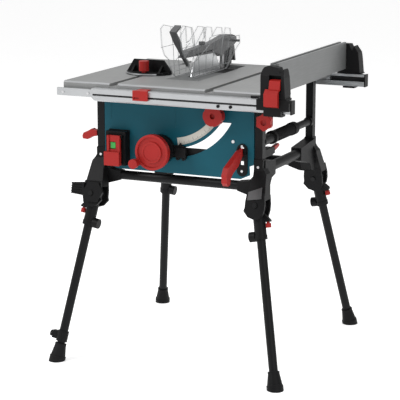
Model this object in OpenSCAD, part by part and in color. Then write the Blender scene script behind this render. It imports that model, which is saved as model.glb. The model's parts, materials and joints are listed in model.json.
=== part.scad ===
// Jobsite table saw on a folding four-leg stand.
// Frame: X right, Y back (the user stands at -Y), Z up. The origin is on the floor, under the middle
// of the saw's overall box. The modules draw about the middle of the body, and placed() shifts them.

/* [Frame] */
// X of the origin, from the middle of the body
centre_x = 27; // [0:1:40]
// Y of the origin, from the middle of the body
centre_y = 19; // [0:1:40]

/* [Table] */
// Height of the table's top face above the floor
table_h = 900; // [700:1:950]
// Left edge of the table
table_l = -352; // [-500:1:-200]
// Right edge of the table
table_r = 318; // [200:1:500]
// Half the table's front-to-back depth
table_hd = 302; // [200:1:400]
// Thickness of the table at its edge
table_t = 22; // [15:1:40]
// Width of a mitre slot
slot_w = 19.2; // [10:0.1:25]
// Depth of a mitre slot
slot_d = 9.5; // [5:0.1:12]
// Left mitre slot centre
slot_l = -176; // [-250:1:-100]
// Right mitre slot centre
slot_r = 148; // [80:1:250]

/* [Blade] */
// X of the blade's plane
blade_x = -25; // [-100:1:100]
// Blade diameter
blade_d = 254; // [200:1:305]
// Blade body thickness
blade_t = 2; // [1:0.1:3]
// Y of the arbor
arbor_y = 60; // [0:1:120]
// Height of the arbor at full blade height
arbor_z = 853; // [800:1:880]
// Number of teeth
teeth = 40; // [24:1:60]

/* [Body] */
// Half width of the front panel
panel_hw = 257; // [200:1:300]
// Bottom of the front panel
panel_z = 613; // [580:1:700]
// Y of the panel's front face
panel_y = -208; // [-230:1:-190]
// Radius of the middle of the curved slot about the tilt axis
arc_r = 222; // [180:1:240]
// Width of the curved slot
arc_w = 29; // [26:1:30]
// Inner radius of the bevel scale
scale_r = 174; // [140:1:190]
// Width of the bevel scale
scale_w = 23; // [10:1:30]
// Handwheel diameter
wheel_d = 112; // [80:1:160]
// Distance of the handwheel's shaft from the tilt axis
wheel_r = 213.5; // [212:0.5:215]
// Handwheel angle from straight down
wheel_a = -8.08; // [-20:0.1:0]

/* [Stand] */
// X of the posts' centres
post_x = 272.5; // [200:0.5:320]
// Y of the front posts
post_f = -192.5; // [-250:0.5:-150]
// Y of the rear posts
post_b = 247.5; // [180:0.5:300]
// Post width
post_w = 25; // [20:1:40]
// Height of the corner brackets' top
brk_top = 678; // [640:1:720]
// Height of the front and rear cross tubes
cross_z = 590; // [560:1:620]
// Height of the side tubes
side_z = 640; // [600:1:680]
// Height of the carry handles
handle_z = 731; // [700:1:780]
// Height of the leg pivots
piv_z = 535; // [500:1:560]
// Leg tube diameter
leg_d = 28; // [22:1:36]

/* [Rails and fence] */
// Left end of the sliding rails
rail_l = -238; // [-350:1:-200]
// Right end of the sliding rails
rail_r = 423; // [318:1:480]
// Bottom of the sliding rails
rail_b = 846; // [830:1:860]
// Top of the sliding rails
rail_t = 886; // [875:1:889]
// Left face of the fence beam
fence_x = 345; // [200:1:380]
// Fence beam thickness
fence_w = 26; // [20:1:50]
// Top of the fence beam
fence_t = 991; // [950:1:1010]

/* [Hidden] */
$fn = 48;
under = table_h - table_t;
// handwheel shaft, and the crank knob's offset left and down from it
wheel_x = blade_x + wheel_r * sin(wheel_a);
wheel_z = table_h - wheel_r * cos(wheel_a);
shaft_r = 5;
crank_dx = 53;
crank_dz = 36;
// centres of the bevel lock knob, the extension knob, the rail lock lever and the side lever
knob_x = 137;
knob_z = 810;
ext_x = 301;
ext_z = 801;
lever_x = 220;
lever_screws = [639, 717];
side_lever_z = 721;
// throat insert screws, mitre gauge pivot, and how far a bracket's arm reaches over a cross tube
screw_x = [blade_x - 38, blade_x + 58];
gauge_y = -88;
arm_l = 70;
// lower outline of a bracket's cheek, inner side first
cheek = [[-29, 40], [-33, 10], [-33, -10], [-36, -20], [-20, -38], [0, -44], [16, -42], [28, -30],
  [32, -10], [32, 10], [27, 40]];
// leg pivots and feet, front left, front right, rear left, rear right
pivs = [[-270, -252, piv_z], [276, -216, piv_z], [-267, 270, piv_z], [275, 301, piv_z]];
feet = [[-356, -372, 0], [394, -355, 0], [-342, 387, 0], [370, 410, 0]];
function side(i) = i % 2 == 0 ? -1 : 1;
function dd(i) = pivs[i] - feet[i];
function leg_len(i) = norm(dd(i));
function beta(i) = asin(dd(i)[0] / leg_len(i));
function alpha(i) = -asin(dd(i)[1] / (leg_len(i) * cos(beta(i))));

module bx(x0, x1, y0, y1, z0, z1)
  translate([x0, y0, z0]) cube([x1 - x0, y1 - y0, z1 - z0]);
module cx(x0, x1, y, z, r)
  translate([x0, y, z]) rotate([0, 90, 0]) cylinder(h = x1 - x0, r = r);
module cy(y0, y1, x, z, r)
  translate([x, y0, z]) rotate([-90, 0, 0]) cylinder(h = y1 - y0, r = r);
module cz(z0, z1, x, y, r)
  translate([x, y, z0]) cylinder(h = z1 - z0, r = r);
// a profile in Y and Z, extruded along X
module pyz(x0, x1)
  translate([x0, 0, 0]) rotate([90, 0, 90]) linear_extrude(x1 - x0) children();
// a profile in X and Z, extruded along Y
module pxz(y0, y1)
  translate([0, y1, 0]) rotate([90, 0, 0]) linear_extrude(y1 - y0) children();
// a profile in X and Y, extruded along Z
module pxy(z0, z1)
  translate([0, 0, z0]) linear_extrude(z1 - z0) children();
// ring about the tilt axis from angle a0 to a1, both from straight down, positive to the right
module ring(y0, y1, r0, r1, a0, a1) intersection() {
  difference() {
    cy(y0, y1, blade_x, table_h, r1);
    cy(y0 - 1, y1 + 1, blade_x, table_h, r0);
  }
  pxz(y0 - 1, y1 + 1) polygon(concat([[blade_x, table_h]],
    [for (i = [0 : 4]) let (a = a0 + (a1 - a0) * i / 4)
      [blade_x + 2 * r1 * sin(a), table_h - 2 * r1 * cos(a)]]));
}
// moves a sub-part from the body's own middle to the part's frame
module placed() translate([-centre_x, -centre_y, 0]) children();
// frame of leg i, without and with its sideways lean
module at_hub(i) translate(pivs[i]) rotate([alpha(i), 0, 0]) children();
module at_leg(i) at_hub(i) rotate([0, beta(i), 0]) children();

// ---------- table ----------
module table_top() color("silver") placed() difference() {
  pyz(table_l, table_r) polygon([
    [-table_hd, under], [-table_hd, table_h - 5], [-table_hd + 5, table_h],
    [table_hd - 2, table_h], [table_hd, table_h - 2], [table_hd, under]]);
  // mitre slots with flared front ends
  for (x = [slot_l, slot_r]) {
    bx(x - slot_w / 2, x + slot_w / 2, -310, 310, table_h - slot_d, table_h + 1);
    pxy(table_h - slot_d, table_h + 1) polygon([
      [x - slot_w / 2 - 5, -303], [x + slot_w / 2 + 5, -303],
      [x + slot_w / 2, -290], [x - slot_w / 2, -290]]);
  }
  // throat opening with a ledge for the insert
  bx(blade_x - 42, blade_x + 62, -140, 254, under - 1, table_h + 1);
  bx(blade_x - 47, blade_x + 67, -145, 180, table_h - 4, table_h + 1);
  // weight-saving pockets underneath
  for (y = [-145, 10]) {
    bx(table_l + 10, -192, y, y + 133, under - 1, under + 9);
    bx(176, table_r - 12, y, y + 133, under - 1, under + 9);
  }
  for (y = [-290, -145, 10, 155]) {
    bx(-150, -82, y, y + 133, under - 1, under + 9);
    bx(52, 130, y, y + 133, under - 1, under + 9);
  }
}
module throat_plate() color("dimgray") placed() difference() {
  bx(blade_x - 46.5, blade_x + 66.5, -144.5, arbor_y, table_h - 4, table_h - 0.2);
  bx(blade_x - 7, blade_x + 11, -72, arbor_y + 1, table_h - 5, table_h + 1);
  for (x = screw_x) cz(table_h - 5, table_h + 1, x, -135, 3);
}

module throat_rear() color("black") placed() difference() {
  bx(blade_x - 46.5, blade_x + 66.5, arbor_y + 0.5, 179.5, table_h - 4, table_h - 1);
  bx(blade_x - 7, blade_x + 11, arbor_y, 180, table_h - 5, table_h + 1);
  for (x = screw_x) cz(table_h - 5, table_h + 1, x, 170, 3);
}

// ---------- body ----------
module cabinet() color("darkslategray") placed() {
  // left side wall with cooling slots
  difference() {
    bx(-249, -246, -205, 250, 650, under);
    for (i = [0 : 7]) bx(-255, -240, -40 + i * 18, -32 + i * 18, 690, 750);
  }
  // round tilt guides under the table
  for (y = [-172, 236]) intersection() {
    ring(y, y + 8, 53, 74, -75, 75);
    bx(-200, 200, y - 1, y + 9, 800, under);
  }
}
module front_panel() color("teal") placed() difference() {
  union() {
    pxz(panel_y, panel_y + 3) polygon([
      [-panel_hw, under], [-panel_hw, panel_z + 47], [-panel_hw + 14, panel_z + 41],
      [-panel_hw + 12, panel_z + 14], [-panel_hw + 43, panel_z], [panel_hw - 43, panel_z],
      [panel_hw - 12, panel_z + 14], [panel_hw - 14, panel_z + 41], [panel_hw, panel_z + 47],
      [panel_hw, under]]);
    // stiffening lips behind the side edges
    for (x = [-panel_hw, panel_hw - 2.5]) bx(x, x + 2.5, panel_y + 3, panel_y + 14, panel_z + 49, under);
    // two upright beads
    bx(-235, -233, panel_y - 0.8, panel_y, 775, under - 4);
    bx(-9, -7, panel_y - 0.8, panel_y, 758, under - 4);
  }
  // curved slot, cut off level at its right end
  intersection() {
    ring(panel_y - 2, panel_y + 5, arc_r - arc_w / 2, arc_r + arc_w / 2, -14, 75);
    bx(-300, 300, panel_y - 3, panel_y + 6, panel_z, 786);
  }
  // switch cut-out, lock-lever slot and knob bore
  bx(-232, -184, panel_y - 2, panel_y + 5, 640, 722);
  bx(lever_x - 6, lever_x + 6, panel_y - 2, panel_y + 5, 658, 714);
  cy(panel_y - 2, panel_y + 5, knob_x, knob_z, 7);
}
module bevel_scale() color("beige") placed()
  ring(panel_y - 1, panel_y, scale_r, scale_r + scale_w, 7.5, 57.5);
module switch_box() color("black") placed() difference() {
  union() {
    bx(-240, -168, panel_y - 5, panel_y, 627, 740);
    bx(-238, -170, panel_y - 30, panel_y - 5, 629, 738);
    bx(-231, -185, panel_y, panel_y + 30, 641, 721);
    // flap hinge ears and pin
    for (x = [-230.5, -180.5]) bx(x, x + 4, panel_y - 42, panel_y - 29, 718, 728);
    cx(-229, -178, -246.5, 723, 2);
  }
  // start-button well
  bx(-216.5, -197.5, panel_y - 32, panel_y - 12, 684.5, 705.5);
}
module black_fittings() color("black") placed() {
  // lock-lever plate
  difference() {
    hull() for (z = [640, 707]) cy(panel_y - 4, panel_y, lever_x, z, 17.5);
    bx(lever_x - 6, lever_x + 6, panel_y - 5, panel_y + 1, 658, 714);
    for (z = lever_screws) cy(panel_y - 5, panel_y + 1, lever_x, z, 2.6);
  }
  // lever bearing ears and pin
  for (x = [lever_x - 15, lever_x + 8.6]) bx(x, x + 6.4, panel_y - 14, panel_y - 4, 690, 710);
  cx(lever_x - 13, lever_x + 13, -215, 700, 4);
  // rail lock knob block under the table
  difference() {
    bx(ext_x - 11, ext_x + 10, -214, -186, 784, under);
    cy(-215, -185, ext_x, ext_z, 6.05);
  }
  // clamp body on the right front post, and its ears
  bx(261, 284, -180, -112, 680, 704);
  for (x = [262, 279]) bx(x, x + 4, -112, -96, 682, 700);
  cx(263, 282, -104, 691, 3);
  // pad between the cross tube and the panel
  bx(-84, -41, -204, -182, cross_z + 15.2, cross_z + 28);
}
module posts() color("dimgray") placed()
  for (x = [-post_x, post_x], y = [post_f, post_b])
    difference() {
      bx(x - post_w / 2, x + post_w / 2, y - post_w / 2, y + post_w / 2, brk_top, under);
      bx(x - post_w / 2 + 2, x + post_w / 2 - 2, y - post_w / 2 + 2, y + post_w / 2 - 2,
        brk_top - 1, under + 1);
      // bearing for the side lever
      if (x < 0 && y < 0) cx(x - 15, x + 15, y, side_lever_z, 5.05);
    }
module frame_tubes() color("dimgray") placed() {
  // front and rear cross tubes
  for (y = [post_f, post_b]) difference() {
    cx(-post_x + arm_l, post_x - arm_l, y, cross_z, 15);
    cx(-post_x + arm_l - 1, post_x - arm_l + 1, y, cross_z, 13);
  }
  // lower side tubes
  for (x = [-post_x, post_x]) difference() {
    cy(post_f + 85, post_b - 130, x, side_z, 16);
    cy(post_f + 84, post_b - 129, x, side_z, 14);
  }
  // carry handles, thicker from the front post to the grip
  for (x = [-post_x, post_x]) {
    cy(-106, post_b - post_w / 2, x, handle_z, 12);
    cy(post_f + post_w / 2, -106, x, handle_z, 15);
    cy(post_b - post_w / 2 - 14, post_b - post_w / 2, x, handle_z, 16);
  }
}
module handle_grips() color("black") placed()
  for (x = [-post_x, post_x]) difference() {
    union() {
      cy(-104, 92, x, handle_z, 18);
      cy(-104, -92, x, handle_z, 21);
      cy(64, 92, x, handle_z, 21);
    }
    cy(-105, 93, x, handle_z, 12.02);
  }

// ---------- stand brackets ----------
// s is the side, f is -1 at the front and 1 at the rear, p the leg index, a the length of the side arm
module bracket(s, f, p, a) {
  px = s * post_x;
  py = f < 0 ? post_f : post_b;
  pv = pivs[p];
  difference() {
    union() {
      // collar around the foot of the post, widening down to the pivot
      intersection() {
        pxz(py - 90, py + 90) polygon([
          [px - s * 15, brk_top], [px - s * 15, 630], [pv[0] - s * 33, 556], [pv[0] + s * 30, 556],
          [px + s * 28, 634], [px + s * 15, 654], [px + s * 15, brk_top]]);
        pyz(px - 90, px + 90) polygon([
          [py - f * 15, brk_top], [py - f * 15, 628], [pv[1] - f * 27, 556], [pv[1] + f * 21, 556],
          [py + f * 15, 644], [py + f * 15, brk_top]]);
      }
      // arm over the cross tube
      pxz(py - 17, py + 17) polygon([
        [px, 642], [px - s * 20, 622], [px - s * 30, 610], [px - s * arm_l, 604],
        [px - s * arm_l, 576], [px - s * 54, 571], [px - s * 30, 564], [px, 564]]);
      // arm along the side tube
      pyz(px - 18, px + 18) polygon([
        [py, 674], [py - f * 18, 672], [py - f * a, 661], [py - f * a, 619],
        [py - f * (a - 30), 612], [py - f * 44, 596], [py - f * 30, 572], [py, 564]]);
      // two cheeks that hold the leg
      at_hub(p) for (y = [-28, 20.2]) pxz(y, y + 7.8) polygon([
        for (q = cheek) [s * q[0], q[1]]]);
    }
    // room between the cheeks for the folding leg, and the pin bore
    at_hub(p) {
      cy(-20.4, 20.4, 0, 0, 27);
      bx(s > 0 ? -100 : -40, s > 0 ? 40 : 100, -20.4, 20.4, -60, 0);
      bx(s > 0 ? -100 : 0, s > 0 ? 0 : 100, -20.4, 20.4, -1, 23);
      cy(-35, 35, 0, 0, 5.02);
    }
  }
}
module front_brackets() color("black") placed() {
  bracket(-1, -1, 0, 85);
  bracket(1, -1, 1, 85);
}
// hexagonal plate and ribbed rest on the front left bracket
module side_rest() color("black") placed() at_hub(0) difference() {
  union() {
    cy(-36, -28, 6, 3, 36, $fn = 6);
    pxz(-36, -28) polygon([[-71, -6], [-71, 29], [-26, 33], [-26, -10]]);
    pxz(-28, -22) polygon([[-71, -6], [-71, 29], [-40, 32], [-40, -9]]);
  }
  for (z = [-4 : 8 : 20]) bx(-74, -32, -37, -33, z, z + 4);
  cy(-37, -27, 0, 0, 5.02);
}
module rear_brackets() color("black") placed() {
  bracket(-1, 1, 2, 130);
  bracket(1, 1, 3, 130);
}

// ---------- rails ----------
// f is -1 for the front rail and 1 for the rear rail; profiles are drawn for the front
module mirror_rail(f) mirror([0, f > 0 ? 1 : 0, 0]) children();
module fixed_rails() color("lightgray") placed() for (f = [-1, 1]) mirror_rail(f) {
  bx(table_l - 14, table_r, -321, -312, 856, 880);
  bx(table_l - 14, table_r, -312, -table_hd, 864, 876);
}
module slide_rail(f, x1) mirror_rail(f) difference() {
  pyz(rail_l, x1) polygon([
    [-332, rail_b + 4], [-328, rail_b], [-304, rail_b], [-304, rail_t], [-330, rail_t], [-332, rail_t - 2]]);
  // channel, its mouth, and the groove along the outer face
  bx(rail_l - 1, x1 + 1, -324, -310, 852, 883);
  bx(rail_l - 1, x1 + 1, -311, -303, 862, 878);
  bx(rail_l - 1, x1 + 1, -333, -326, 863, 869);
  // chamfered lower left end
  pxz(-334, -303) polygon([[rail_l - 1, rail_b - 1], [rail_l + 12, rail_b - 1], [rail_l - 1, rail_b + 12]]);
}
module front_rail() color("silver") placed() slide_rail(-1, rail_r);
module rear_rail() color("silver") placed() slide_rail(1, rail_r + 14);
module rail_fittings() color("black") placed() {
  for (x = [191.5, 232]) {
    cy(-335, -332, x, 857, 5);
    cy(-337, -335, x, 857, 3);
  }
  // right end caps
  for (f = [-1, 1]) mirror_rail(f) {
    x = f < 0 ? rail_r : rail_r + 14;
    bx(x, x + 4, -333, -303, rail_b - 1, rail_t);
  }
}
module rail_cursor() color("red") placed() difference() {
  union() {
    bx(-90, -41, -343, -333.5, 858, 889);
    bx(-84, -47, -334, -table_hd, 886.6, 889);
  }
  bx(-87, -68, -344, -339, 863, 869);
}

// ---------- fence ----------
module fence_beam() color("gray") placed() difference() {
  union() {
    bx(fence_x, fence_x + fence_w, -296, 309, table_h + 2, fence_t);
    bx(fence_x + 1, fence_x + fence_w - 1, -300, -296, table_h + 3, fence_t - 1);
  }
  // hollow extrusion with top groove
  bx(fence_x + 2.5, fence_x + fence_w - 2.5, -301, 310, table_h + 5, 930);
  bx(fence_x + 2.5, fence_x + fence_w - 2.5, -301, 310, 933, fence_t - 8);
  bx(fence_x + 8, fence_x + fence_w - 8, -301, 310, fence_t - 4, fence_t + 1);
}
module fence_heads() color("black") placed() {
  difference() {
    union() {
      // front body on top of the rail
      intersection() {
        pxz(-349, -300) polygon([
          [334, 889], [334, 975], [338, 983], [351, 987], [384, 982], [390, 967], [396, 972],
          [400, 979], [404, 975], [408, 954], [413, 889]]);
        pyz(330, 420) polygon([
          [-348, 889], [-303, 889], [-303, 902], [-300, 902],
          [-300, 984], [-312, 988], [-322, 988], [-348, 960]]);
      }
      // wide foot in front of the rail, and its hook
      bx(322, 425, -350, -338, 857, 889);
      bx(425, 434, -350, -338, 882, 889);
      bx(326, 416, -348, -303, 887, 893);
      bx(345, 400, -350, -338, 840, 857);
      bx(345, 400, -340, -312, 838, 844);
      // pointer bar over the rail
      bx(295, 326, -328, -322, 887.5, 895);
    }
    // pocket for the lever
    bx(361, 399.5, -351, -328, 915, 962);
  }
  cx(358, 402, -342, 940, 3);
  // rear body, its plate and its hook
  intersection() {
    pxz(309, 353) polygon([
      [345, 889], [345, 984], [380.5, 985], [391, 961.5], [398.6, 979], [401, 975], [413, 957], [420, 889]]);
    pyz(340, 425) polygon([[309, 889], [352, 889], [352, 940], [344, 984], [309, 986]]);
  }
  bx(fence_x - 4, 424, 309, 348, 887, 890);
  bx(360, 400, 338, 348, 838, 890);
  bx(360, 400, 314, 346, 838, 844);
}
module fence_lever() color("red") placed() difference() {
  union() {
    pyz(351, 394) polygon([[-351, 867], [-365, 872], [-366, 908], [-353, 921], [-351, 921]]);
    pyz(363, 397) polygon([[-335.5, 930], [-351, 917], [-356, 922], [-350, 946], [-340, 950], [-335.5, 944]]);
    cx(363, 397, -342, 940, 6);
  }
  cx(350, 400, -342, 940, 3.05);
}

// ---------- tilting frame ----------
module tilt_frame() color("black") placed() difference() {
  union() {
    // front plate behind the panel
    pxz(-202, -196) polygon([
      [-104, 640], [75, 640], [95, 696], [10, 696], [10, 800], [-8, 850], [-104, 857]]);
    // runner beside the round guide, and its block
    bx(-62, -5, -196, -181, 800, 842);
    intersection() {
      ring(-181, -174, 53, 74, -68, 20);
      bx(-200, 100, -182, -173, 800, under - 1);
    }
    // left longitudinal bar
    bx(-102, -86, -197, 229, 845, 857);
    // guide rods for the lifting carriage
    for (y = [-60, 180]) cz(650, 847, -94, y, 7);
    // lead screw bearings
    bx(-88, -46, -153, -127, 845, 857);
    bx(-88, -42, -197, -127, 640, 652);
    // rear plate and riving knife clamp
    pxz(228, 234) polygon([
      [-104, 700], [-86, 700], [-86, 720], [-5, 720], [-5, 845], [-60, 857], [-104, 857]]);
    bx(-40, blade_x - 1.2, 200, 229, 790, 845);
    // link through the curved slot, and the round plate behind the handwheel
    bx(4, 18, -213, -201, 678, 690);
    cy(-232, -214, wheel_x, wheel_z, 47);
    pxz(-218, -212) polygon([[wheel_x, 668], [34, 668], [34, 698], [22, 704], [wheel_x, 704]]);
    // pointer block with two rounded legs, and the needle
    bx(0, 34, -226, -216, 668, 698);
    for (x = [7, 27]) {
      cy(-226, -216, x, 666, 7);
      bx(x - 7, x + 7, -226, -216, 666, 670);
    }
    pxz(-219, -213) polygon([[4, 694], [22, 694], [17, 706], [14, 713], [12, 713], [8, 706]]);
  }
  cy(-234, -190, wheel_x, wheel_z, shaft_r + 0.05);
  cz(639, 858, wheel_x, -140, 6.05);
  for (x = [7, 27]) cy(-227, -222, x, 666, 2.5);
}
module lift_screw() color("silver") placed() {
  cz(642, 857, wheel_x, -140, 6);
  cz(662, 672, wheel_x, -140, 11);
  cz(836, 842, wheel_x, -140, 9);
}
module handwheel() color("red") placed() {
  difference() {
    union() {
      cy(-286, -268, wheel_x, wheel_z, wheel_d / 2);
      cy(-268, -232.2, wheel_x, wheel_z, 17);
    }
    // dished front with a raised centre disc
    difference() {
      cy(-287, -281, wheel_x, wheel_z, wheel_d / 2 - 7);
      cy(-288, -279, wheel_x, wheel_z, 33);
    }
    cy(-287, -284, wheel_x, wheel_z, 28);
  }
  // ear and pin for the crank knob
  difference() {
    translate([wheel_x, 0, wheel_z]) rotate([0, -atan2(crank_dz, crank_dx), 0])
      bx(-78, -50, -284, -270, -11, 11);
    cy(-287, -281, wheel_x, wheel_z, wheel_d / 2 - 7);
  }
  cy(-308, -283, wheel_x - crank_dx, wheel_z - crank_dz, 4);
  // drive shaft and its bevel wheel
  cy(-233, -154, wheel_x, wheel_z, shaft_r);
  cy(-164, -154, wheel_x, wheel_z, 11);
}
module crank_knob() color("red") placed() difference() {
  union() {
    cy(-296, -287, wheel_x - crank_dx, wheel_z - crank_dz, 12);
    cy(-311, -296, wheel_x - crank_dx, wheel_z - crank_dz, 15);
  }
  cy(-308.5, -286, wheel_x - crank_dx, wheel_z - crank_dz, 4.05);
}

// ---------- lifting carriage ----------
module motor() color("dimgray") placed() difference() {
  union() {
    cx(-205, -75, arbor_y, 793, 44);
    cx(-216, -205, arbor_y, 793, 40);
    // gear case
    hull() {
      cx(-76, -45.2, arbor_y, 793, 42);
      cx(-76, -45.2, arbor_y, arbor_z, 22);
    }
    // webs to the guide bushes
    for (y = [-60, 180]) cz(768, 818, -94, y, 14);
    bx(-101, -87, -60, 20, 778, 808);
    bx(-101, -87, 100, 180, 778, 808);
    // arm to the lead screw
    bx(-94, -66, -72, -58, 780, 806);
    bx(-80, -66, -140, -60, 780, 806);
    bx(-80, wheel_x + 13, -153, -127, 780, 806);
  }
  for (y = [-60, 180]) cz(767, 819, -94, y, 7.05);
  cz(779, 807, wheel_x, -140, 6.05);
  cx(-74, -45, arbor_y, arbor_z, 8.05);
  // cooling slots in the motor's end
  for (a = [0 : 45 : 315])
    translate([-216, arbor_y, 793]) rotate([a, 0, 0]) translate([-1, -2.5, 14]) cube([6, 5, 20]);
}
module shroud() color("dimgray") placed() difference() {
  cx(-45, -8, arbor_y, arbor_z, 136);
  cx(-42.5, -10.5, arbor_y, arbor_z, 133.5);
  bx(-50, 0, -90, 210, arbor_z, 1000);
  cx(-50, 0, arbor_y, arbor_z, 26);
}
module arbor() color("silver") placed() {
  cx(-73, -40, arbor_y, arbor_z, 8);
  cx(-40, blade_x - blade_t / 2, arbor_y, arbor_z, 20);
  cx(blade_x - blade_t / 2, blade_x + blade_t / 2, arbor_y, arbor_z, 15);
  cx(blade_x + blade_t / 2, -17, arbor_y, arbor_z, 20);
  translate([-17, arbor_y, arbor_z]) rotate([0, 90, 0]) cylinder(h = 9, r = 13, $fn = 6);
  cx(-8, -2, arbor_y, arbor_z, 8);
}
module blade() color("lightgray") placed() difference() {
  union() {
    cx(blade_x - blade_t / 2, blade_x + blade_t / 2, arbor_y, arbor_z, blade_d / 2 - 3);
    translate([blade_x, arbor_y, arbor_z]) for (i = [0 : teeth - 1]) rotate([i * 360 / teeth, 0, 0])
      pyz(-1.3, 1.3) polygon([
        [-3, blade_d / 2 - 9], [-1.5, blade_d / 2], [2, blade_d / 2 - 1.2], [5, blade_d / 2 - 9]]);
  }
  cx(blade_x - 2, blade_x + 2, arbor_y, arbor_z, 15.02);
  // expansion slots with round ends
  translate([blade_x, arbor_y, arbor_z]) for (i = [0 : 3]) rotate([i * 90 + 6, 0, 0]) {
    bx(-2, 2, -0.6, 0.6, blade_d / 2 - 26, blade_d / 2 + 1);
    cx(-2, 2, 0, blade_d / 2 - 26, 2.5);
  }
}

// ---------- guard ----------
module riving_knife() color("dimgray") placed() {
  pyz(blade_x - 1.15, blade_x + 1.15) polygon([
    [200, 792], [226, 792], [226, 884], [250, 902.5], [272, 903.5], [282, 968], [128, 968],
    [148, 952], [176, 940], [195, 928], [206, 917], [213, 905], [211, 890], [200, 876]]);
  // black braces either side, an upside-down V
  for (x = [blade_x - 8, blade_x + 1.15]) pyz(x, x + 6.85) polygon([
    [215, 893], [240, 893], [262, 945], [268, 950], [284, 913], [292, 913], [280, 966], [246, 966]]);
  cx(blade_x - 6, blade_x + 6, 192, 946, 2.5);
}
module guard_arm() color("gray") placed() {
  difference() {
    pyz(blade_x - 12, blade_x + 12) polygon([
      [-126, 967], [-94, 987], [14, 991], [70, 992], [132, 998], [196, 1007], [249, 1005],
      [273, 1000], [290, 992], [290, 976], [268, 968], [236, 966], [212, 957], [182, 957],
      [172, 939], [132, 955], [92, 959], [-41, 964]]);
    // slots for the knife and the blade
    bx(blade_x - 1.2, blade_x + 1.2, 120, 300, 930, 969);
    bx(blade_x - 8.1, blade_x + 8.1, 240, 300, 940, 966.5);
    bx(blade_x - 4, blade_x + 4, -25, 145, 950, 984);
    // grooves in both sides
    for (x = [blade_x - 13, blade_x + 8]) bx(x, x + 5, -41, 87, 965, 971);
    for (x = [blade_x - 13, blade_x + 11]) bx(x, x + 2, 103, 107, 966, 993);
  }
  // front spine, wider towards its top
  intersection() {
    pyz(blade_x - 12, blade_x + 12) polygon([
      [-151, 1073], [-192, 1056], [-166, 1024], [-124, 973], [-78, 934], [-73, 938],
      [-117, 979], [-159, 1030], [-182, 1052], [-152, 1066]]);
    pxz(-200, -60) polygon([for (q = [[-11, 1080], [-11, 1020], [-5, 985], [-5, 930],
      [5, 930], [5, 985], [11, 1020], [11, 1080]]) [blade_x + q[0], q[1]]]);
  }
  // lock knob
  cz(985, 1003, blade_x, 30, 10);
  // hinge pin of the shields
  cx(blade_x - 39, blade_x + 39, 250, 985, 4);
}
module shield_profile() polygon([
  [150, 903], [-98, 903], [-116, 912], [-143, 942], [-150, 964], [-180, 981], [-198, 1010],
  [-206, 1066], [-186, 1076], [-120, 1064], [-105, 1036], [-100, 1002], [-75, 1019], [-21, 1056],
  [-15, 1002], [12, 1008], [74, 1047], [114, 1041], [125, 1002], [142, 1038], [182, 1033],
  [192, 1002], [262, 1002], [266, 975], [240, 963], [200, 935]]);
module shield_left() color("lightblue", 0.4) placed() difference() {
  pyz(blade_x - 35, blade_x - 32) shield_profile();
  cx(blade_x - 40, blade_x - 30, 250, 985, 4.05);
}
module shield_right() color("lightblue", 0.4) placed() difference() {
  pyz(blade_x + 32, blade_x + 35) shield_profile();
  cx(blade_x + 30, blade_x + 40, 250, 985, 4.05);
}
module pawls() color("silver") placed() difference() {
  for (x = [blade_x - 4.2, blade_x + 1.7]) pyz(x, x + 2.5) polygon([
    [186, 951], [197, 951], [199, 942], [202, 925], [198, 908], [194, 914], [190, 908],
    [187, 915], [185, 930]]);
  cx(blade_x - 6, blade_x + 6, 192, 946, 2.55);
}

// ---------- controls ----------
module bevel_lock_knob() color("red") placed() {
  difference() {
    union() {
      cy(-252, -228, knob_x, knob_z, 32);
      cy(-228, panel_y - 1, knob_x, knob_z, 9);
    }
    cy(-253, -242, knob_x, knob_z, 9);
    for (a = [0 : 60 : 300]) cy(-254, -226, knob_x + 39.5 * sin(a), knob_z + 39.5 * cos(a), 9);
  }
  cy(panel_y - 2, panel_y + 16, knob_x, knob_z, 6.9);
}
module rail_lock_lever() color("red") placed() difference() {
  union() {
    pyz(lever_x - 5, lever_x + 5) polygon([
      [-232, 688], [-232, 707], [-216, 712], [-206, 708], [-204, 694], [-212, 688]]);
    pyz(lever_x - 8.4, lever_x + 8.4) polygon([
      [-231, 688], [-231, 708], [-246, 705], [-292, 688], [-338, 671], [-352, 652], [-351, 627],
      [-340, 616], [-324, 617], [-318, 636], [-300, 649], [-258, 664]]);
  }
  cx(lever_x - 15, lever_x + 15, -215, 700, 4.05);
}
module extension_knob() color("red") placed() {
  difference() {
    union() {
      cy(-240, -222, ext_x, ext_z, 23);
      cy(-222, -216, ext_x, ext_z, 13);
      for (a = [0 : 60 : 300]) cy(-238, -224, ext_x + 19 * sin(a), ext_z + 19 * cos(a), 8);
    }
    cy(-241, -234, ext_x, ext_z, 10);
  }
  cy(-217, -190, ext_x, ext_z, 6);
}
module side_lever() color("red") placed() {
  pxz(-205, -184) polygon([
    [-341, 709], [-337, 719], [-318, 728], [-308, 734], [-300, 731], [-288.5, 730],
    [-288.5, 712], [-305, 709], [-321, 699], [-339, 700]]);
  cx(-290, -262, post_f, side_lever_z, 5);
}
module clamp_lever() color("red") placed() difference() {
  union() {
    cx(267, 278, -104, 691, 7);
    pyz(267, 278) polygon([
      [-108, 686], [-100, 685], [-60, 692], [-44, 698], [-50, 705], [-74, 702], [-106, 697]]);
  }
  cx(260, 285, -104, 691, 3.05);
}
module switch_flap() color("red") placed() difference() {
  union() {
    bx(-226, -181, -252, -245, 631, 727);
    bx(-234, -181, -262, -245, 631, 675);
    for (x = [-226, -188]) bx(x, x + 7, -256, -245, 675, 727);
    cx(-226, -181, -246.5, 723, 4);
  }
  bx(-218, -196, -263, -240, 683, 707);
  cx(-240, -176, -246.5, 723, 2.05);
}
module start_button() color("green") placed()
  bx(-215.5, -198.5, -250, -225, 685.5, 704.5);

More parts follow.
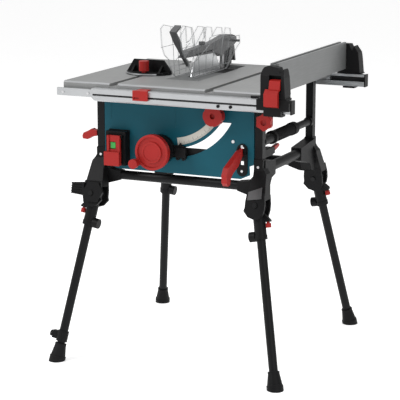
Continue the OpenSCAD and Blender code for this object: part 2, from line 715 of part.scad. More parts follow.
// ---------- mitre gauge ----------
module mitre_bar() color("silver") placed() difference() {
  union() {
    bx(slot_l - 9.4, slot_l + 9.4, -110, 200, table_h - 9.2, table_h - 0.2);
    cz(table_h - 1, table_h + 8, slot_l, gauge_y, 4);
  }
  for (y = [120, 180]) cz(table_h - 10, table_h, slot_l, y, 3);
}
module mitre_head() color("black") placed() difference() {
  union() {
    // round-fronted base
    intersection() {
      cz(table_h + 1, table_h + 8, slot_l, gauge_y + 57, 81);
      bx(slot_l - 90, slot_l + 90, gauge_y - 30, gauge_y + 42, table_h, table_h + 9);
    }
    // upright face
    pxz(gauge_y + 34, gauge_y + 42) polygon([for (q = [[-78, 1], [-78, 6], [-53, 46], [53, 46],
      [80, 12], [80, 1]]) [slot_l + q[0], table_h + q[1]]]);
    for (x = [slot_l - 52, slot_l + 46]) pyz(x, x + 6) polygon([
      [gauge_y + 4, 906], [gauge_y + 35, 906], [gauge_y + 35, 930]]);
  }
  cz(table_h, table_h + 12, slot_l, gauge_y, 4.05);
}
module mitre_knob() color("red") placed() {
  cz(table_h + 14, table_h + 46, slot_l, gauge_y, 16);
  cz(table_h + 8.2, table_h + 14, slot_l, gauge_y, 8);
}

// ---------- legs ----------
module leg_tube(i, z1) at_leg(i) difference() {
  translate([0, 0, -z1]) cylinder(h = z1 - 32, r = leg_d / 2);
  translate([0, 0, -z1 - 1]) cylinder(h = z1 - 30, r = leg_d / 2 - 1.5);
}
module foot(i, r) intersection() {
  at_leg(i) difference() {
    union() {
      translate([0, 0, -leg_len(i) - 9]) cylinder(h = 24, r = 26);
      translate([0, 0, -leg_len(i) + 15]) cylinder(h = 36, r1 = 24, r2 = 18);
      translate([0, 0, -leg_len(i) + 51]) cylinder(h = 6, r = 18.5);
    }
    translate([0, 0, -leg_len(i) + 26]) cylinder(h = 40, r = r);
  }
  bx(-900, 900, -900, 900, 0, 200);
}
module knuckle(i) at_leg(i) difference() {
  s = side(i);
  union() {
    cy(-20, 20, 0, 0, 22);
    cz(-104, -10, 0, 0, 19);
    cz(-104, -90, 0, 0, 20.5);
    // button fin on the outer side, clamp screw knob on the inner side
    pxz(-9, 9) polygon([for (q = [[10, -14], [37, -46], [37, -52], [10, -52]]) [s * q[0], q[1]]]);
    cx(s > 0 ? -36 : 16, s > 0 ? -16 : 36, 0, -93, 16);
  }
  cy(-21, 21, 0, 0, 5.05);
  cz(-106, -31.5, 0, 0, leg_d / 2 + 0.02);
  cz(-53, -44, s * 28.5, 0, 5.05);
}
module button(i) color("red") placed() at_leg(i) {
  cz(-70, -56.3, side(i) * 28.5, 0, 8.5);
  cz(-57, -48.5, side(i) * 28.5, 0, 5);
}
module leg_fl() color("dimgray") placed() leg_tube(0, leg_len(0) - 82);
module leg_fr() color("dimgray") placed() leg_tube(1, leg_len(1) - 27);
module leg_rl() color("dimgray") placed() leg_tube(2, leg_len(2) - 27);
module leg_rr() color("dimgray") placed() leg_tube(3, leg_len(3) - 27);
module fittings_fl() color("black") placed() {
  knuckle(0);
  // clamp collar and its screw above the adjustable foot
  at_leg(0) difference() {
    union() {
      translate([0, 0, -leg_len(0) + 64]) cylinder(h = 34, r = 18);
      bx(-34, -10, -8, 8, -leg_len(0) + 68, -leg_len(0) + 94);
      cx(-42, -34, 0, -leg_len(0) + 81, 10);
    }
    translate([0, 0, -leg_len(0) + 81.9]) cylinder(h = 20, r = leg_d / 2 + 0.02);
    translate([0, 0, -leg_len(0) + 60]) cylinder(h = 30, r = leg_d / 2 - 1.5);
  }
}
module fittings_fr() color("black") placed() {
  knuckle(1);
  foot(1, leg_d / 2 + 0.02);
}
module fittings_rl() color("black") placed() {
  knuckle(2);
  foot(2, leg_d / 2 + 0.02);
}
module fittings_rr() color("black") placed() {
  knuckle(3);
  foot(3, leg_d / 2 + 0.02);
}
module leg_fl_ext() color("black") placed() {
  foot(0, leg_d / 2 - 1.55);
  at_leg(0) translate([0, 0, -leg_len(0) + 26]) cylinder(h = 150, r = leg_d / 2 - 1.55);
}
module button_fl() button(0);
module button_fr() button(1);
module button_rl() button(2);
module button_rr() button(3);

// ---------- screws, bolts and pins fixed to the stand and body ----------
module fasteners() color("darkgray") placed() {
  // leg pivot pins with heads
  for (i = [0 : 3]) at_hub(i) {
    cy(-28, 28, 0, 0, 5);
    cy(28, 32, 0, 0, 8);
    cy(i == 0 ? -40 : -32, i == 0 ? -36 : -28, 0, 0, 8);
    if (i == 0) cy(-37, -27, 0, 0, 5);
  }
  for (z = lever_screws) {
    cy(panel_y - 6, panel_y - 4, lever_x, z, 4);
    cy(panel_y - 5, panel_y, lever_x, z, 2.5);
  }
  cy(panel_y - 2.5, panel_y, 188.7, 729, 5);
  // screws through the fixed rails
  for (x = [-344, -255.5], f = [-1, 1]) mirror_rail(f) cy(-323.4, -321, x, 867, 4);
  // screws through the throat inserts
  for (x = screw_x) {
    cz(table_h - 4, table_h - 0.5, x, -135, 2.9);
    cz(table_h - 4, table_h - 1.2, x, 170, 2.9);
  }
  // bolts through the post collars
  for (x = [-post_x, post_x]) cy(post_f - 18, post_f - 15, x, 655, 4);
}

table_top();
throat_plate();
throat_rear();
cabinet();
front_panel();
bevel_scale();
switch_box();
black_fittings();
posts();
frame_tubes();
handle_grips();
front_brackets();
side_rest();
rear_brackets();
fixed_rails();
rail_cursor();
fasteners();
front_rail();
rear_rail();
rail_fittings();
fence_beam();
fence_heads();
fence_lever();
tilt_frame();
riving_knife();
guard_arm();
lift_screw();
handwheel();
crank_knob();
motor();
shroud();
arbor();
blade();
shield_left();
shield_right();
pawls();
bevel_lock_knob();
rail_lock_lever();
extension_knob();
side_lever();
clamp_lever();
switch_flap();
start_button();
mitre_bar();
mitre_head();
mitre_knob();
leg_fl();
leg_fr();
leg_rl();
leg_rr();
fittings_fl();
fittings_fr();
fittings_rl();
fittings_rr();
leg_fl_ext();
button_fl();
button_fr();
button_rl();
button_rr();
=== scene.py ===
"""Looks for the table saw: materials, small details, studio and camera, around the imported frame."""

import json
import math

import bmesh
import bpy
from mathutils import Matrix, Vector


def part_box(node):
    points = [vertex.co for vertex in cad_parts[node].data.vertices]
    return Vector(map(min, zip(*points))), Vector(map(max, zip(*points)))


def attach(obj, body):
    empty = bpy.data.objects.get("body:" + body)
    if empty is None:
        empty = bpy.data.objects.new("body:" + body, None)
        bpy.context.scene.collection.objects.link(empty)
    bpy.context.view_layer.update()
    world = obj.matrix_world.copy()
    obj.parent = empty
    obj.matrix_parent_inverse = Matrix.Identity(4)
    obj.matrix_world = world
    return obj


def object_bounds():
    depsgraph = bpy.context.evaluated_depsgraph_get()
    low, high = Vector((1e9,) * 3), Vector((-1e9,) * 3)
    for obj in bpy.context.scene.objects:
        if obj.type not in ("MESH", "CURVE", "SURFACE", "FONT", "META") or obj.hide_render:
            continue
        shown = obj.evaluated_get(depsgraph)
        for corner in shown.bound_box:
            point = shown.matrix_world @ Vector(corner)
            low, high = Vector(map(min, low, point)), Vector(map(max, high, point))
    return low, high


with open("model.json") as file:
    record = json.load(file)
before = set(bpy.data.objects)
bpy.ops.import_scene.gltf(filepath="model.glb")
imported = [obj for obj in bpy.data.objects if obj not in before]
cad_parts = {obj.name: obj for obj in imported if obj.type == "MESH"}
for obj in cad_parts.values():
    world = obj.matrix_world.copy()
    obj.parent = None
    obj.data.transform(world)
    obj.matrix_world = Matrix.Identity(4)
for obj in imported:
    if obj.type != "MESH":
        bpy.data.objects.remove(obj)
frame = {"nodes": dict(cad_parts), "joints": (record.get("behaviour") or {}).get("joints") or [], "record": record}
cad_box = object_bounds()
NODES = frame["nodes"]
JOINTS = {j["name"]: j for j in frame["joints"]}
MM = 0.001


# ---------- materials ----------
def new_material(name):
    """An empty node material: returns it with its node tree, principled shader and object coordinates."""
    mat = bpy.data.materials.new(name)
    mat.use_nodes = True
    tree = mat.node_tree
    shader = tree.nodes["Principled BSDF"]
    coords = tree.nodes.new("ShaderNodeTexCoord")
    return mat, tree, shader, coords.outputs["Object"]


def noise(tree, vector, scale, detail=3.0, stretch=(1, 1, 1)):
    """A noise texture's factor, with its space stretched along the axes."""
    mapping = tree.nodes.new("ShaderNodeMapping")
    mapping.inputs["Scale"].default_value = stretch
    tree.links.new(vector, mapping.inputs["Vector"])
    node = tree.nodes.new("ShaderNodeTexNoise")
    node.inputs["Scale"].default_value = scale
    node.inputs["Detail"].default_value = detail
    tree.links.new(mapping.outputs["Vector"], node.inputs["Vector"])
    return node.outputs["Fac"]


NOISE_LOW, NOISE_HIGH = 0.3, 0.7


def span(tree, value, low, high):
    """Maps a noise factor from its usual range onto low to high."""
    node = tree.nodes.new("ShaderNodeMapRange")
    node.inputs["From Min"].default_value = NOISE_LOW
    node.inputs["From Max"].default_value = NOISE_HIGH
    node.inputs["To Min"].default_value = low
    node.inputs["To Max"].default_value = high
    tree.links.new(value, node.inputs["Value"])
    return node.outputs["Result"]


def shade(tree, factor, colour, low, high):
    """The colour times a value that runs from low to high with the factor."""
    ramp = tree.nodes.new("ShaderNodeMix")
    ramp.data_type = "RGBA"
    ramp.inputs["A"].default_value = [c * low for c in colour] + [1]
    ramp.inputs["B"].default_value = [min(1, c * high) for c in colour] + [1]
    tree.links.new(factor, ramp.inputs["Factor"])
    return ramp.outputs["Result"]


def bump(tree, shader, height, strength, distance=0.5 * MM):
    """Gives the shader's normal a relief from a height."""
    node = tree.nodes.new("ShaderNodeBump")
    node.inputs["Strength"].default_value = strength
    node.inputs["Distance"].default_value = distance
    tree.links.new(height, node.inputs["Height"])
    tree.links.new(node.outputs["Normal"], shader.inputs["Normal"])


# Wear starts where the rounded normal turns this far from the flat one (as a cosine), and is strongest here.
WEAR_START, WEAR_FULL, WEAR_AMOUNT = 0.98, 0.85, 0.5


def edge_wear(tree, shader, colour, worn, radius=1.5 * MM):
    """Blends a colour towards its worn tone where the surface turns a sharp corner."""
    rounded = tree.nodes.new("ShaderNodeBevel")
    rounded.samples = 4
    rounded.inputs["Radius"].default_value = radius
    flat = tree.nodes.new("ShaderNodeNewGeometry")
    turn = tree.nodes.new("ShaderNodeVectorMath")
    turn.operation = "DOT_PRODUCT"
    tree.links.new(rounded.outputs["Normal"], turn.inputs[0])
    tree.links.new(flat.outputs["Normal"], turn.inputs[1])
    amount = tree.nodes.new("ShaderNodeMapRange")
    amount.inputs["From Min"].default_value = WEAR_START
    amount.inputs["From Max"].default_value = WEAR_FULL
    amount.inputs["To Max"].default_value = WEAR_AMOUNT
    tree.links.new(turn.outputs["Value"], amount.inputs["Value"])
    blend = tree.nodes.new("ShaderNodeMix")
    blend.data_type = "RGBA"
    blend.inputs["B"].default_value = (*worn, 1)
    tree.links.new(colour, blend.inputs["A"])
    tree.links.new(amount.outputs["Result"], blend.inputs["Factor"])
    tree.links.new(blend.outputs["Result"], shader.inputs["Base Color"])


BLOTCH_SCALE = 9.0
ROUGH_SPREAD = 0.06


def plain(name, colour, rough, metal=0.0, grain=900, stretch=(1, 1, 1), vary=0.06, relief=0.15, coat=0.0,
          shine=0.5, worn=None):
    """A moulded, painted or ground surface: fine grain in relief and roughness, broad change of colour."""
    mat, tree, shader, vector = new_material(name)
    fine = noise(tree, vector, grain, 4.0, stretch)
    broad = noise(tree, vector, BLOTCH_SCALE, 2.0)
    tone = shade(tree, span(tree, broad, 0, 1), colour, 1 - vary, 1 + vary)
    tree.links.new(tone, shader.inputs["Base Color"])
    if worn:
        edge_wear(tree, shader, tone, worn)
    tree.links.new(span(tree, fine, rough - ROUGH_SPREAD, rough + ROUGH_SPREAD), shader.inputs["Roughness"])
    shader.inputs["Specular IOR Level"].default_value = shine
    shader.inputs["Metallic"].default_value = metal
    shader.inputs["Coat Weight"].default_value = coat
    bump(tree, shader, fine, relief)
    return mat


def ground_disc(name, colour, centre, rough=0.28):
    """Steel ground in circles about an axis along X through centre."""
    mat, tree, shader, vector = new_material(name)
    mapping = tree.nodes.new("ShaderNodeMapping")
    mapping.inputs["Location"].default_value = [-c for c in centre]
    tree.links.new(vector, mapping.inputs["Vector"])
    rings = tree.nodes.new("ShaderNodeTexWave")
    rings.wave_type = "RINGS"
    rings.rings_direction = "X"
    rings.inputs["Scale"].default_value = 160
    rings.inputs["Distortion"].default_value = 1.5
    rings.inputs["Detail"].default_value = 3
    tree.links.new(mapping.outputs["Vector"], rings.inputs["Vector"])
    tree.links.new(shade(tree, rings.outputs["Fac"], colour, 0.9, 1.08), shader.inputs["Base Color"])
    tree.links.new(span(tree, rings.outputs["Fac"], rough, rough + 0.12), shader.inputs["Roughness"])
    shader.inputs["Metallic"].default_value = 1.0
    bump(tree, shader, rings.outputs["Fac"], 0.08)
    return mat


def clear_plastic(name, tint, cover, edge):
    """Thin clear sheet: mostly see-through, denser and glossier when seen edge-on, with faint scuffs."""
    mat, tree, shader, vector = new_material(name)
    shader.inputs["Base Color"].default_value = (*tint, 1)
    shader.inputs["Roughness"].default_value = 0.12
    facing = tree.nodes.new("ShaderNodeLayerWeight")
    facing.inputs["Blend"].default_value = 0.35
    scuffs = span(tree, noise(tree, vector, 220, 5.0, (1, 0.25, 1)), 0.0, cover)
    grow = tree.nodes.new("ShaderNodeMath")
    grow.operation = "MULTIPLY_ADD"
    grow.use_clamp = True
    grow.inputs[1].default_value = edge
    tree.links.new(facing.outputs["Facing"], grow.inputs[0])
    tree.links.new(scuffs, grow.inputs[2])
    see = tree.nodes.new("ShaderNodeBsdfTransparent")
    mix = tree.nodes.new("ShaderNodeMixShader")
    tree.links.new(grow.outputs[0], mix.inputs["Fac"])
    tree.links.new(see.outputs[0], mix.inputs[1])
    tree.links.new(shader.outputs[0], mix.inputs[2])
    tree.links.new(mix.outputs[0], tree.nodes["Material Output"].inputs["Surface"])
    return mat


BLACK_BELOW = 600 * MM


def two_tone_screws(name, low_colour, high_colour, rough):
    """Pins coloured near black below a height on the stand and bright zinc screws above it, in one material."""
    mat, tree, shader, vector = new_material(name)
    place = tree.nodes.new("ShaderNodeSeparateXYZ")
    tree.links.new(vector, place.inputs[0])
    above = tree.nodes.new("ShaderNodeMath")
    above.operation = "GREATER_THAN"
    above.inputs[1].default_value = BLACK_BELOW
    tree.links.new(place.outputs["Z"], above.inputs[0])
    fine = noise(tree, vector, 900, 4.0)
    tone = tree.nodes.new("ShaderNodeMix")
    tone.data_type = "RGBA"
    tree.links.new(shade(tree, span(tree, fine, 0, 1), low_colour, 0.9, 1.1), tone.inputs["A"])
    tree.links.new(shade(tree, span(tree, fine, 0, 1), high_colour, 0.95, 1.05), tone.inputs["B"])
    tree.links.new(above.outputs[0], tone.inputs["Factor"])
    tree.links.new(tone.outputs["Result"], shader.inputs["Base Color"])
    tree.links.new(above.outputs[0], shader.inputs["Metallic"])
    tree.links.new(span(tree, fine, rough - ROUGH_SPREAD, rough + ROUGH_SPREAD), shader.inputs["Roughness"])
    shader.inputs["Specular IOR Level"].default_value = 0.2
    bump(tree, shader, fine, 0.15)
    return mat


def middle(node):
    """The centre of a node's box."""
    low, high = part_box(node)
    return (low + high) / 2


ALONG_X = (0.02, 1, 1)
ALONG_Y = (1, 0.02, 1)
WORN_BLACK = (0.026, 0.026, 0.028)
LOOKS = {
    "cast_table": plain("cast_table", (0.25, 0.253, 0.252), 0.5, 0.55, 700, ALONG_Y, 0.05, 0.10),
    "insert": plain("insert", (0.13, 0.135, 0.135), 0.5, 0.5, 500),
    "cabinet": plain("cabinet", (0.008, 0.0085, 0.009), 0.5, 0, 700, vary=0.1, shine=0.25),
    "black_plastic": plain("black_plastic", (0.0062, 0.0062, 0.0066), 0.45, 0, 1100, vary=0.15, relief=0.25,
                           shine=0.12, worn=WORN_BLACK),
    "teal_panel": plain("teal_panel", (0.005, 0.074, 0.104), 0.42, 0, 650, vary=0.06, relief=0.06,
                        shine=0.16, worn=(0.03, 0.14, 0.18)),
    "scale": plain("scale", (0.50, 0.49, 0.44), 0.45, 0, 500, vary=0.05),
    "black_steel": plain("black_steel", (0.006, 0.0063, 0.0068), 0.42, 0.0, 800, vary=0.12, relief=0.12,
                         shine=0.15, worn=WORN_BLACK),
    "black_rubber": plain("black_rubber", (0.008, 0.008, 0.0085), 0.62, 0, 600, vary=0.15, relief=0.4,
                          shine=0.15),
    "rail_aluminium": plain("rail_aluminium", (0.48, 0.49, 0.50), 0.34, 0.85, 700, ALONG_X, 0.04, 0.06),
    "red_plastic": plain("red_plastic", (0.31, 0.014, 0.012), 0.40, 0, 900, vary=0.08, relief=0.12,
                         shine=0.22, worn=(0.46, 0.05, 0.04)),
    "screw_steel": two_tone_screws("screw_steel", (0.007, 0.007, 0.0075), (0.62, 0.62, 0.63), 0.35),
    "fence_aluminium": plain("fence_aluminium", (0.20, 0.205, 0.205), 0.45, 0.6, 700, ALONG_Y, 0.04, 0.06),
    "dark_steel": plain("dark_steel", (0.012, 0.012, 0.013), 0.38, 0.3, 700, vary=0.15),
    "grey_plastic": plain("grey_plastic", (0.055, 0.056, 0.058), 0.42, 0, 900, vary=0.1),
    "bright_steel": plain("bright_steel", (0.30, 0.30, 0.31), 0.34, 1.0, 700, ALONG_Y),
    "motor_housing": plain("motor_housing", (0.018, 0.019, 0.021), 0.45, 0.2, 600, vary=0.1),
    "blade_steel": ground_disc("blade_steel", (0.80, 0.81, 0.82), middle("blade")),
    "clear_guard": clear_plastic("clear_guard", (0.55, 0.57, 0.58), 0.03, 0.07),
    "green_plastic": plain("green_plastic", (0.01, 0.30, 0.03), 0.3, 0, 900, coat=0.3),
}
SLOT_OF = {s["node"]: s["material_slot"] for s in frame["record"]["subparts"]}
# opaque grey that paints the lines of light and shade along the clear shields' edges and ribs
PAINTED_EDGE_LINES = plain("painted_clear_edge_lines", (0.24, 0.25, 0.255), 0.3, 0, 300, vary=0.2)
SCALE_MARK = plain("scale_mark", (0.02, 0.02, 0.02), 0.5, 0, 500)
# lighter grey than the black bracket, for the painted sheen on its front right face
PAINTED_SHEEN = plain("painted_bracket_sheen", (0.055, 0.055, 0.057), 0.4, 0, 900, vary=0.2, relief=0.05, shine=0.4)
# near black, for the painted shade laid on groove floors
PAINTED_GROOVE_SHADE = plain("groove", (0.006, 0.006, 0.007), 0.6, 0, 500)

for node_name, node_object in NODES.items():
    node_object.data.materials.clear()
    node_object.data.materials.append(LOOKS[SLOT_OF[node_name]])


# ---------- softened edges ----------
SHARP_ANGLE = math.radians(40)
EDGE_RADIUS = {"default": 0.8 * MM, "front_brackets": 2.5 * MM, "rear_brackets": 2.5 * MM,
               "fence_heads": 1.6 * MM, "mitre_head": 1.5 * MM, "rail_cursor": 1.5 * MM,
               "rail_lock_lever": 2.5 * MM, "fence_lever": 2.2 * MM, "side_lever": 2.0 * MM,
               "clamp_lever": 1.5 * MM, "switch_flap": 1.5 * MM, "handwheel": 2.0 * MM}
SHARP = {"blade", "bevel_scale", "shield_left", "shield_right", "front_rail", "rear_rail", "fixed_rails"}
for node_name, node_object in NODES.items():
    if node_name in SHARP:
        continue
    soften = node_object.modifiers.new("soften", "BEVEL")
    soften.width = EDGE_RADIUS.get(node_name, EDGE_RADIUS["default"])
    soften.segments = 2
    soften.limit_method = "ANGLE"
    soften.angle_limit = SHARP_ANGLE


def piece(name, data, material, body):
    """A new object from mesh or curve data, with its material, riding on a body."""
    data.materials.append(material)
    made = bpy.data.objects.new(name, data)
    bpy.context.collection.objects.link(made)
    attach(made, body)
    return made


# ---------- painted edge lines of the clear shields ---
def edge_wires(node, radius, body):
    """Thin grey rods along the sharp edges of a node, painting the dark and bright lines that refraction and
    reflection draw along a clear sheet's edges.
    """
    mesh = bmesh.new()
    mesh.from_mesh(NODES[node].data)
    bmesh.ops.remove_doubles(mesh, verts=mesh.verts, dist=1e-6)
    curve = bpy.data.curves.new(node + "_rim", "CURVE")
    curve.dimensions = "3D"
    curve.bevel_depth = radius
    curve.bevel_resolution = 1
    for edge in mesh.edges:
        if len(edge.link_faces) != 2 or edge.calc_face_angle() < SHARP_ANGLE:
            continue
        line = curve.splines.new("POLY")
        line.points.add(1)
        for point, vertex in zip(line.points, edge.verts):
            point.co = (*vertex.co, 1)
    mesh.free()
    piece(node + "_rim", curve, PAINTED_EDGE_LINES, body)


for shield in ("shield_left", "shield_right"):
    edge_wires(shield, 0.55 * MM, shield)


def rods(name, paths, radius, material, body):
    """Round rods along straight-sided paths, as one curve object."""
    curve = bpy.data.curves.new(name, "CURVE")
    curve.dimensions = "3D"
    curve.bevel_depth = radius
    curve.bevel_resolution = 2
    curve.use_fill_caps = True
    for path in paths:
        line = curve.splines.new("POLY")
        line.points.add(len(path) - 1)
        for point, place in zip(line.points, path):
            point.co = (*place, 1)
    return piece(name, curve, material, body)


# Moulded ribs of a shield, as fractions of its length and height, drawn in the grey of the painted edge lines.
SHIELD_RIBS = (((0.01, 0.60), (0.22, 0.60)), ((0.22, 0.02), (0.20, 0.56), (0.16, 0.93)),
               ((0.30, 0.02), (0.27, 0.56)), ((0.40, 0.03), (0.41, 0.55)),
               ((0.24, 0.30), (0.47, 0.55)), ((0.50, 0.03), (0.55, 0.58)), ((0.62, 0.05), (0.69, 0.58)),
               ((0.74, 0.10), (0.80, 0.56)), ((0.22, 0.10), (0.78, 0.10)))


def shield_ribs(node, body, offset):
    """The ribs on the outer face of a clear shield: moulded ribs, painted grey to stand for the lines of light and
    shade they show.
    """
    low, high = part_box(node)
    x = low.x + offset if offset < 0 else high.x + offset
    size = high - low
    paths = [[(x, low.y + u * size.y, low.z + v * size.z) for u, v in rib] for rib in SHIELD_RIBS]
    rods(node + "_ribs", paths, 0.8 * MM, PAINTED_EDGE_LINES, body)


shield_ribs("shield_left", "shield_left", -0.3 * MM)
shield_ribs("shield_right", "shield_right", 0.3 * MM)


# ---------- painted shade on the groove floors ---
def strip(name, low, high, body):
    """A thin dark bar between two corners, as painted shade in a groove."""
    mesh = bmesh.new()
    corners = [mesh.verts.new((x, y, z)) for x in (low[0], high[0]) for y in (low[1], high[1])
               for z in (low[2], high[2])]
    bmesh.ops.convex_hull(mesh, input=corners)
    data = bpy.data.meshes.new(name)
    mesh.to_mesh(data)
    mesh.free()
    piece(name, data, PAINTED_GROOVE_SHADE, body)


def rail_grooves():
    """Dark bars on the floors of the outer grooves and inner channels along both sliding rails, painting the shade
    in them.
    """
    thick, sunk, inset = 0.3 * MM, 0.05 * MM, 1 * MM
    # name, depth in from the outer face, way the floor faces (outwards 1), lowest and highest edges
    floors = (("rail_groove_", 6 * MM, 1, 17.2 * MM, 22.8 * MM),
              ("rail_channel_shade_", 8 * MM, -1, 6.5 * MM, 36.5 * MM))
    for side, way in (("front", -1), ("rear", 1)):
        low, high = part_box(side + "_rail")
        face = low.y if way < 0 else high.y
        for name, depth, out, bottom, top in floors:
            floor_y = face - way * depth
            near, far = sorted((floor_y - way * out * sunk, floor_y + way * out * thick))
            strip(name + side, (low.x + inset, near, low.z + bottom),
                  (high.x - inset, far, low.z + top), "rails")


def arm_grooves():
    """Dark bars on the floors of the grooves in both sides of the guard arm, painting the shade in them."""
    centre_x, rear = middle("guard_arm").x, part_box("guard_arm")[1].y
    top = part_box("table_top")[1].z
    depth, thick = 8 * MM, 0.4 * MM
    first, last = rear - 330 * MM, rear - 204 * MM
    low, high = top + 65.2 * MM, top + 70.8 * MM
    for side, way in (("left", -1), ("right", 1)):
        near, far = sorted((centre_x + way * (depth - 0.05 * MM), centre_x + way * (depth + thick)))
        strip("arm_groove_" + side, (near, first, low), (far, last, high), "tilt")


rail_grooves()
arm_grooves()


# ---------- painted sheen on the front right bracket ---------
def bracket_sheen_plate():
    """A lighter grey plate on the sloping face below the right post, painting the sheen that this face catches."""
    low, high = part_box("front_brackets")
    # the face leans back by this much per height, and passes through this place
    lean, at_y, at_z = 0.398, 48.6 * MM, 78 * MM
    outline = ((-57, 95), (-13.5, 112), (-11.5, 78), (-57, 71))
    out = Vector((0, -1, lean)).normalized()
    mesh = bmesh.new()
    corners = []
    for from_right, above in outline:
        height = above * MM
        place = Vector((high.x + from_right * MM, low.y + at_y + (height - at_z) * lean, low.z + height))
        corners += [mesh.verts.new(place + out * lift * MM) for lift in (-0.5, 0.5)]
    bmesh.ops.convex_hull(mesh, input=corners)
    data = bpy.data.meshes.new("bracket_sheen_plate")
    mesh.to_mesh(data)
    mesh.free()
    piece("bracket_sheen_plate", data, PAINTED_SHEEN, "saw_body")


bracket_sheen_plate()


# ---------- bright front chamfer of the table: a machined edge with a painted highlight ---
SLOT_SPACING = 324 * MM


def machined_edge_highlight():
    """A bright strip laid on the table's front chamfer, broken at the mitre slots: partly the machined edge,
    partly a painted highlight along it.
    """
    low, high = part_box("table_top")
    slots = (middle("mitre_bar").x, middle("mitre_bar").x + SLOT_SPACING)
    gap = 15.5 * MM
    ends = [low.x + 1 * MM]
    for slot in slots:
        ends += [slot - gap, slot + gap]
    ends.append(high.x - 1 * MM)
    chamfer, lift = 5 * MM, 0.15 * MM
    mesh = bmesh.new()
    for start, end in zip(ends[::2], ends[1::2]):
        corners = [mesh.verts.new((x, low.y + along * chamfer - out, high.z - (1 - along) * chamfer + out))
                   for x in (start, end) for along, out in ((0.04, lift), (0.96, lift), (0.96, 0), (0.04, 0))]
        bmesh.ops.convex_hull(mesh, input=corners)
    data = bpy.data.meshes.new("machined_edge_highlight")
    mesh.to_mesh(data)
    mesh.free()
    # bright rail metal, for the machined edge and the painted highlight along it
    piece("machined_edge_highlight", data, LOOKS["rail_aluminium"], "saw_body")


machined_edge_highlight()


# ---------- bevel scale marks ----------
def scale_marks():
    """Degree marks from 0 to 45 on the bevel scale, drawn about the tilt axis."""
    pivot = Vector(JOINTS["bevel_tilt"]["pos_m"])
    scale_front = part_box("bevel_scale")[0][1]
    outer, zero, depth = 196 * MM, 9.5, 0.3 * MM
    mesh = bmesh.new()
    for degree in range(0, 46):
        length = (14 if degree % 15 == 0 else 9 if degree % 5 == 0 else 5) * MM
        width = (0.7 if degree % 5 == 0 else 0.45) * MM
        angle = math.radians(zero + degree)
        place = (Matrix.Translation((pivot.x, scale_front - depth / 2, pivot.z))
                 @ Matrix.Rotation(-angle, 4, "Y") @ Matrix.Translation((0, 0, length / 2 - outer))
                 @ Matrix.Diagonal((width, depth, length, 1)))
        bmesh.ops.create_cube(mesh, size=1.0, matrix=place)
    data = bpy.data.meshes.new("scale_marks")
    mesh.to_mesh(data)
    mesh.free()
    piece("scale_marks", data, SCALE_MARK, "saw_body")


scale_marks()


# ---------- rubber ribs on the handle grips ----------
def ring(mesh, centre, radius, thickness, turns=32, sides=8):
    """A closed ring about an axis along Y, added to a bmesh."""
    loops = []
    for i in range(turns):
        about = 2 * math.pi * i / turns
        loop = []
        for j in range(sides):
            tube = 2 * math.pi * j / sides
            reach = radius + thickness * math.cos(tube)
            loop.append(mesh.verts.new((centre[0] + reach * math.cos(about),
                                        centre[1] + thickness * math.sin(tube),
                                        centre[2] + reach * math.sin(about))))
        loops.append(loop)
    for i in range(turns):
        for j in range(sides):
            mesh.faces.new((loops[i][j], loops[i][(j + 1) % sides],
                            loops[(i + 1) % turns][(j + 1) % sides], loops[(i + 1) % turns][j]))
    bmesh.ops.recalc_face_normals(mesh, faces=mesh.faces)


def grip_ribs():
    """Rings along both carry handles, between their end collars."""
    low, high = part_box("handle_grips")
    collar, sleeve = 21 * MM, 18 * MM
    pitch, thickness = 7 * MM, 1.2 * MM
    first, last = low.y + 18 * MM, high.y - 34 * MM
    for side, x in (("left", low.x + collar), ("right", high.x - collar)):
        mesh = bmesh.new()
        for i in range(int((last - first) / pitch) + 1):
            ring(mesh, (x, first + i * pitch, low.z + collar), sleeve, thickness)
        data = bpy.data.meshes.new("grip_ribs_" + side)
        mesh.to_mesh(data)
        mesh.free()
        piece("grip_ribs_" + side, data, LOOKS["black_rubber"], "saw_body")


grip_ribs()


# ---------- bright scale around the mitre gauge ----------
def gauge_strip():
    """A thin curved strip on the rounded front of the mitre gauge's base."""
    low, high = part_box("mitre_head")
    radius, thick, reach = 81 * MM, 0.5 * MM, 60
    centre_x, centre_y = (low.x + high.x) / 2 - 1 * MM, low.y + radius
    bottom, top = low.z + 1.5 * MM, low.z + 6 * MM
    mesh = bmesh.new()
    rows = []
    for degree in range(-reach, reach + 1, 4):
        angle = math.radians(degree)
        corners = ((radius, bottom), (radius + thick, bottom), (radius + thick, top), (radius, top))
        rows.append([mesh.verts.new((centre_x + r * math.sin(angle), centre_y - r * math.cos(angle), z))
                     for r, z in corners])
    for one, two in zip(rows, rows[1:]):
        for j in range(4):
            mesh.faces.new((one[j], one[(j + 1) % 4], two[(j + 1) % 4], two[j]))
    mesh.faces.new(rows[0][::-1])
    mesh.faces.new(rows[-1])
    bmesh.ops.recalc_face_normals(mesh, faces=mesh.faces)
    data = bpy.data.meshes.new("gauge_strip")
    mesh.to_mesh(data)
    mesh.free()
    piece("gauge_strip", data, LOOKS["rail_aluminium"], "mitre_head")


gauge_strip()


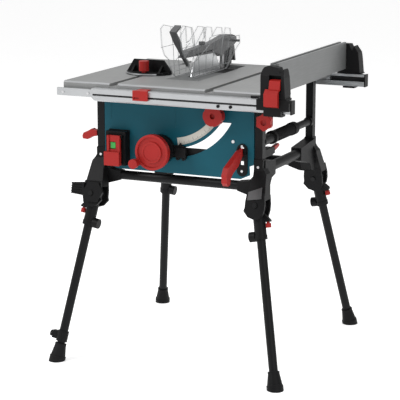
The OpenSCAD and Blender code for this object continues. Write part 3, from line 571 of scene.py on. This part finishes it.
# ---------- studio ----------
def white_surroundings():
    """A world that the camera sees as white but that lights the object more gently."""
    world = bpy.data.worlds.new("studio")
    bpy.context.scene.world = world
    world.use_nodes = True
    tree = world.node_tree
    rays = tree.nodes.new("ShaderNodeLightPath")
    strength = tree.nodes.new("ShaderNodeMapRange")
    strength.inputs["To Min"].default_value = 0.55
    strength.inputs["To Max"].default_value = 1.0
    tree.links.new(rays.outputs["Is Camera Ray"], strength.inputs["Value"])
    background = tree.nodes["Background"]
    background.inputs["Color"].default_value = (1, 1, 1, 1)
    tree.links.new(strength.outputs["Result"], background.inputs["Strength"])


def floor():
    """A pale floor that glows a little, so that only contact shadows show."""
    bpy.ops.mesh.primitive_plane_add(size=60, location=(0, 0, -0.5 * MM))
    plane = bpy.context.object
    plane.name = "studio_floor"
    look = plain("studio_floor", (0.84, 0.84, 0.84), 0.8, 0, 30, vary=0.01, relief=0.01, shine=0.1)
    shader = look.node_tree.nodes["Principled BSDF"]
    shader.inputs["Emission Color"].default_value = (1, 1, 1, 1)
    shader.inputs["Emission Strength"].default_value = 0.5
    plane.data.materials.append(look)


def lights():
    """Three large soft lamps: name, place, size in metres and power in watts."""
    lamps = (("key", (-2.6, -2.6, 3.2), 1.8, 105),
             ("fill", (3.0, -2.4, 1.8), 2.4, 28),
             ("top", (0.2, 0.8, 3.6), 2.6, 62))
    for name, place, size, power in lamps:
        data = bpy.data.lights.new(name, "AREA")
        data.size = size
        data.energy = power
        lamp = bpy.data.objects.new(name, data)
        bpy.context.collection.objects.link(lamp)
        lamp.location = place
        lamp.rotation_euler = (Vector((0, 0, 0.6)) - Vector(place)).to_track_quat("-Z", "Y").to_euler()


def camera():
    """Camera to the right of and above the front, aimed a little left of and below the saw's middle."""
    azimuth, elevation, distance = math.radians(24.3), math.radians(12.3), 5.2257
    low, high = (Vector(corner) for corner in cad_box)
    aim = (low + high) / 2 + Vector((-45, -19, -53)) * MM
    back = Vector((math.sin(azimuth) * math.cos(elevation),
                   -math.cos(azimuth) * math.cos(elevation),
                   math.sin(elevation)))
    data = bpy.data.cameras.new("camera")
    data.lens = 143.2
    data.sensor_width = 36
    cam = bpy.data.objects.new("camera", data)
    bpy.context.collection.objects.link(cam)
    cam.location = aim + back * distance
    cam.rotation_euler = (-back).to_track_quat("-Z", "Y").to_euler()
    bpy.context.scene.camera = cam


white_surroundings()
floor()
lights()
bpy.context.scene.view_settings.view_transform = "Standard"
camera()
bpy.context.view_layer.update()
